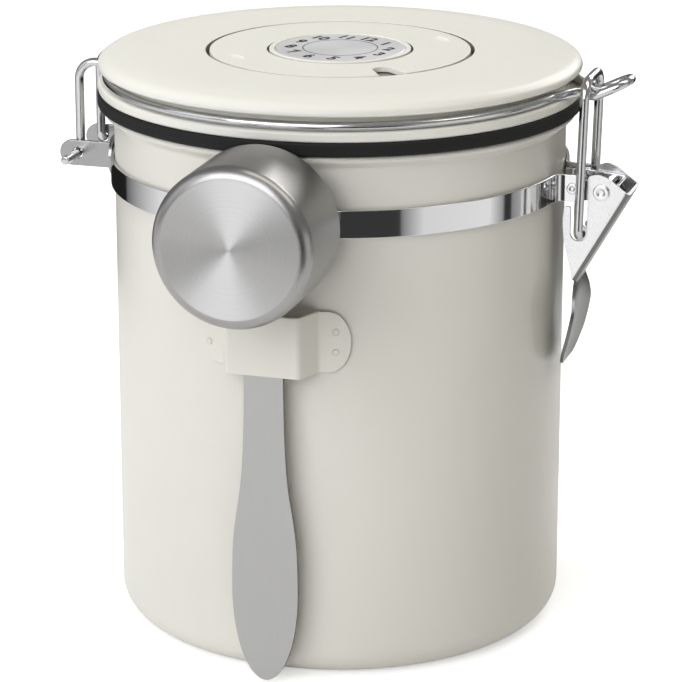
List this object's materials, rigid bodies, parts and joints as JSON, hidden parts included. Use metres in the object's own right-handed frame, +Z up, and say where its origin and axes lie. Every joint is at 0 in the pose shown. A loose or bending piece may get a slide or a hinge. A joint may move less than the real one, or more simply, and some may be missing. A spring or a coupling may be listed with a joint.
{
  "type": "coffee canister",
  "caption": "Airtight steel coffee canister: wire-hinged plastic lid with date dial and one-way valve, over-centre wire latch, and a scoop hung on a welded holder.",
  "frame": {"origin": "centre of the can's flat bottom, on the surface it stands on", "axes": "+Z up along the can's axis, +X towards the latch, -X towards the hinge, -Y towards the scoop"},
  "size_m": [0.1566, 0.1561, 0.1545],
  "materials": {
    "cream_paint": "satin powder coat",
    "ivory_plastic": "fine moulded satin",
    "polished_steel": "polished stainless",
    "satin_steel": "satin stainless sheet",
    "brushed_steel": "turned brushed stainless",
    "black_silicone": "black silicone",
    "pale_silicone": "translucent silicone",
    "grey_card": "printed card",
    "grey_felt": "felt"
  },
  "bodies": {
    "can": {"body_shell": "cream_paint", "band_strap": "polished_steel", "latch_bracket": "polished_steel", "band_rivet_near": "polished_steel", "band_rivet_far": "polished_steel", "lever_rivet": "polished_steel", "hinge_bracket": "polished_steel", "scoop_clip": "cream_paint"},
    "lid": {"lid_cover": "ivory_plastic", "lid_plug": "ivory_plastic", "gasket": "black_silicone", "lid_wire": "polished_steel", "day_card": "grey_card", "valve_seat": "ivory_plastic", "valve_filter": "grey_felt", "valve_cap": "ivory_plastic"},
    "lever": {"lever": "satin_steel"},
    "bail": {"bail_wire": "polished_steel"},
    "wheel": {"date_wheel": "ivory_plastic"},
    "knob": {"month_knob": "ivory_plastic", "dial_plate": "brushed_steel"},
    "valve": {"valve_disc": "pale_silicone"},
    "scoop": {"scoop_cup": "brushed_steel", "scoop_handle": "satin_steel"}
  },
  "joints": [
    {"name": "lid_hinge", "type": "hinge", "parent": "can", "child": "lid", "pos_m": [-0.0712, 0, 0.1229], "axis": [0, -1, 0], "range_deg": [0, 195]},
    {"name": "lever_hinge", "type": "hinge", "parent": "can", "child": "lever", "pos_m": [0.0727, 0, 0.122], "axis": [0, -1, 0], "range_deg": [0, 135]},
    {"name": "bail_hinge", "type": "hinge", "parent": "lever", "child": "bail", "pos_m": [0.0672, 0, 0.1101], "axis": [0, -1, 0], "range_deg": [-101.25, 0]},
    {"name": "wheel_turn", "type": "hinge", "parent": "lid", "child": "wheel", "pos_m": [0, 0, 0.1535], "axis": [0, 0, 1], "continuous": true},
    {"name": "knob_turn", "type": "hinge", "parent": "lid", "child": "knob", "pos_m": [0, 0, 0.1535], "axis": [0, 0, 1], "continuous": true},
    {"name": "valve_lift", "type": "slide", "parent": "lid", "child": "valve", "axis": [0, 0, 1], "range_m": [0, 0.0008]},
    {"name": "scoop_lift", "type": "slide", "parent": "can", "child": "scoop", "axis": [0, 0, 1], "range_m": [0, 0.105]}
  ],
  "couplings": [
    {"joint": "bail_hinge", "follows": "lever_hinge", "ratio": -0.75}
  ]
}
